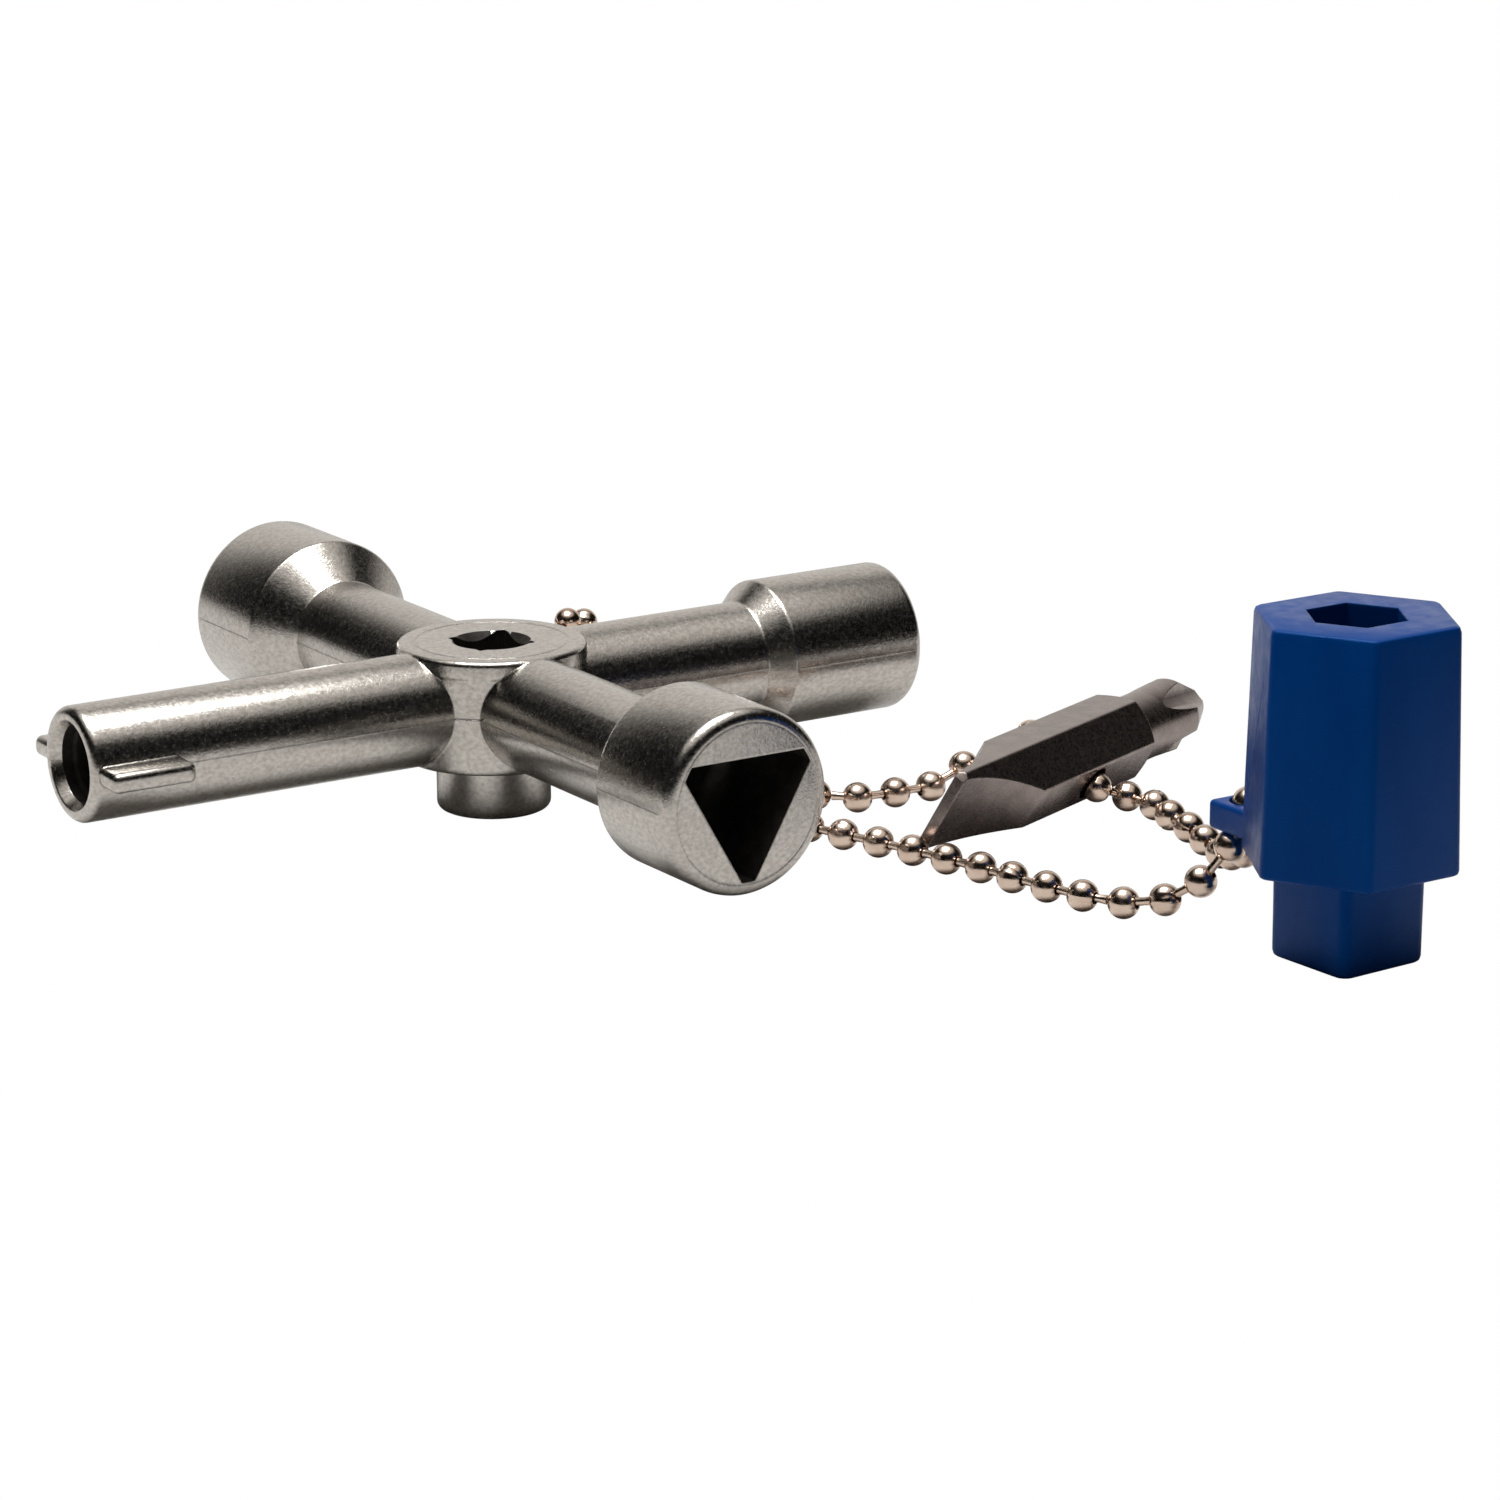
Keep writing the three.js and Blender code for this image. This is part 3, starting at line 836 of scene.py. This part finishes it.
def pin_mesh(length):
    """The link between two beads, a touch slimmer in the middle."""
    waist = PIN_R * 0.85
    profile = [(0, 0), (PIN_R, 0), (waist, length * 0.5), (PIN_R, length), (0, length)]
    return lathe(profile, 16)


def gather(parts):
    """One mesh from (bmesh, matrix) pairs."""
    whole = bmesh.new()
    for bm, matrix in parts:
        bm.transform(matrix)
        mesh = bpy.data.meshes.new("part")
        bm.to_mesh(mesh)
        bm.free()
        whole.from_mesh(mesh)
        bpy.data.meshes.remove(mesh)
    return whole


def link_pin(start, stop, stop_short):
    """A pin from inside one bead to inside the next, or to stop_short of its centre."""
    run = stop - start
    inset = BEAD_R * 0.6
    length = run.length - inset - max(inset, stop_short)
    return pin_mesh(length), facing(run, start + run.normalized() * inset)


def bead_group(centres, before, following, dice):
    """A row of beads, each turned by chance about the chain, and the pins that follow them."""
    parts = []
    line = [before, *centres, following]
    for index, centre in enumerate(centres, start=1):
        direction = line[index + 1] - line[index - 1]
        parts.append((bead_mesh(), facing(direction, centre, dice.uniform(0, 2 * math.pi))))
        last = index == len(centres)
        stop_short = PIN_STOP if last else 0.0
        parts.append(link_pin(centre, line[index + 1], stop_short))
    return gather(parts)


def connector(centres, following):
    """The pressed barrel that closes the loop, drawn solid with a mouth at each end."""
    first, second = centres
    run = second - first
    half, radius, mouth_r, mouth_depth = 2.8, 1.5, 0.55, 0.5
    outline = rounded(
        [
            (mouth_r, mouth_depth - half),
            (mouth_r, -half),
            (radius, -half, 0.4),
            (radius, half, 0.4),
            (mouth_r, half),
            (mouth_r, half - mouth_depth),
        ]
    )
    shell = lathe([(0, mouth_depth - half), *outline, (0, half - mouth_depth)], 48)
    middle = (first + second) / 2
    middle.z = radius
    return gather([(shell, facing(run, middle)), link_pin(second, following, PIN_STOP)])


def make_chain(material):
    dice = random.Random(7)
    legs = [(name, bead_centres(leg)) for name, leg in LEGS.items()]
    for index, (name, centres) in enumerate(legs):
        before = legs[index - 1][1][-1]
        following = legs[(index + 1) % len(legs)][1][0]
        body = BODY_OF_LEG.get(name, "chain_near")
        if name == CLOSING_LEG:
            piece = as_object(connector(centres, following))
            finish_piece(piece, "closing_barrel", material, body, "chain_connector")
            continue
        for group, first in enumerate(range(0, len(centres), BEADS_PER_GROUP), start=1):
            own = centres[first : first + BEADS_PER_GROUP]
            after = [*centres, following][first + len(own)]
            piece = as_object(bead_group(own, before, after, dice))
            node = f"chain_{name}_{group}"
            finish_piece(piece, f"beads_{name}_{group}", material, body, node, 50)
            before = own[-1]


# ---- floor and light ---------------------------------------------------------------------------
def make_plane(name, size, matrix, material):
    bm = bmesh.new()
    bmesh.ops.create_grid(bm, x_segments=1, y_segments=1, size=0.5)
    plane = as_object(bm, name, matrix @ Matrix.Diagonal((*size, 1, 1)))
    plane.data.materials.append(material)
    return plane


def make_floor():
    """The photograph's cut-out white, for the camera only, just under a grey table that
    the camera doesn't see and the light does."""
    n = Nodes("cut_out_white")
    n.set(Base_Color=(0, 0, 0, 1), Specular_IOR_Level=0.0)
    n.set(Emission_Color=(1, 1, 1, 1), Emission_Strength=1.0)
    white = make_plane("white_floor", (6, 6), Matrix.Translation((0, 0, -0.0002)), n.material)
    for rays in ("diffuse", "glossy", "transmission", "shadow"):
        setattr(white, f"visible_{rays}", False)
    n = Nodes("grey_table")
    n.set(Base_Color=(0.62, 0.61, 0.6, 1), Roughness=0.9, Specular_IOR_Level=0.0)
    table = make_plane("table", (1.2, 1.2), Matrix.Identity(4), n.material)
    table.visible_camera = False


def smooth_step(tree, value, low, high):
    node = tree.nodes.new("ShaderNodeMapRange")
    node.interpolation_type = "SMOOTHSTEP"
    node.inputs["From Min"].default_value = low
    node.inputs["From Max"].default_value = high
    tree.links.new(value, node.inputs["Value"])
    return node.outputs["Result"]


def make_world():
    """A dark studio, lit by a wide panel overhead and a window of light behind the object."""
    world = bpy.data.worlds.new("studio")
    bpy.context.scene.world = world
    world.use_nodes = True
    tree = world.node_tree
    window_direction = (0.545, 0.838, 0)
    place = tree.nodes.new("ShaderNodeTexCoord").outputs["Generated"]
    split = tree.nodes.new("ShaderNodeSeparateXYZ")
    tree.links.new(place, split.inputs[0])
    overhead = smooth_step(tree, split.outputs["Z"], 0.66, 0.88)
    toward = tree.nodes.new("ShaderNodeVectorMath")
    toward.operation = "DOT_PRODUCT"
    tree.links.new(place, toward.inputs[0])
    toward.inputs[1].default_value = window_direction
    behind = smooth_step(tree, toward.outputs["Value"], 0.56, 0.84)
    brighter = tree.nodes.new("ShaderNodeMath")
    brighter.operation = "MAXIMUM"
    tree.links.new(overhead, brighter.inputs[0])
    tree.links.new(behind, brighter.inputs[1])
    shade = tree.nodes.new("ShaderNodeValToRGB")
    tree.links.new(brighter.outputs[0], shade.inputs["Fac"])
    shade.color_ramp.elements[0].color = (0.004, 0.0035, 0.003, 1)
    shade.color_ramp.elements[1].color = (0.82, 0.785, 0.745, 1)
    background = tree.nodes["Background"]
    tree.links.new(shade.outputs["Color"], background.inputs["Color"])
    background.inputs["Strength"].default_value = 1.0


def make_light():
    """A soft panel above the object, which mostly lights the table."""
    data = bpy.data.lights.new("top_panel", "AREA")
    data.shape = "RECTANGLE"
    data.size = data.size_y = 0.22
    data.energy = 1.9
    light = bpy.data.objects.new("top_panel", data)
    place, target = Vector((-0.02, 0.03, 0.40)), Vector((0, 0, 0.01))
    turn = (target - place).to_track_quat("-Z", "Y").to_matrix().to_4x4()
    light.matrix_world = Matrix.Translation(place) @ turn
    bpy.context.scene.collection.objects.link(light)


def set_view():
    scene = bpy.context.scene
    scene.view_settings.view_transform = "Standard"
    scene.view_settings.look = "None"


make_camera()
zinc, nickel = zinc_material(), nickel_material()
steel, plastic = steel_material(), plastic_material()
make_chain(nickel)
# The key's second material is painted shade for its hollows.
make_key(zinc, socket_shade_material())
make_adapter(plastic)
make_bit(steel)
make_floor()
make_world()
make_light()
set_view()
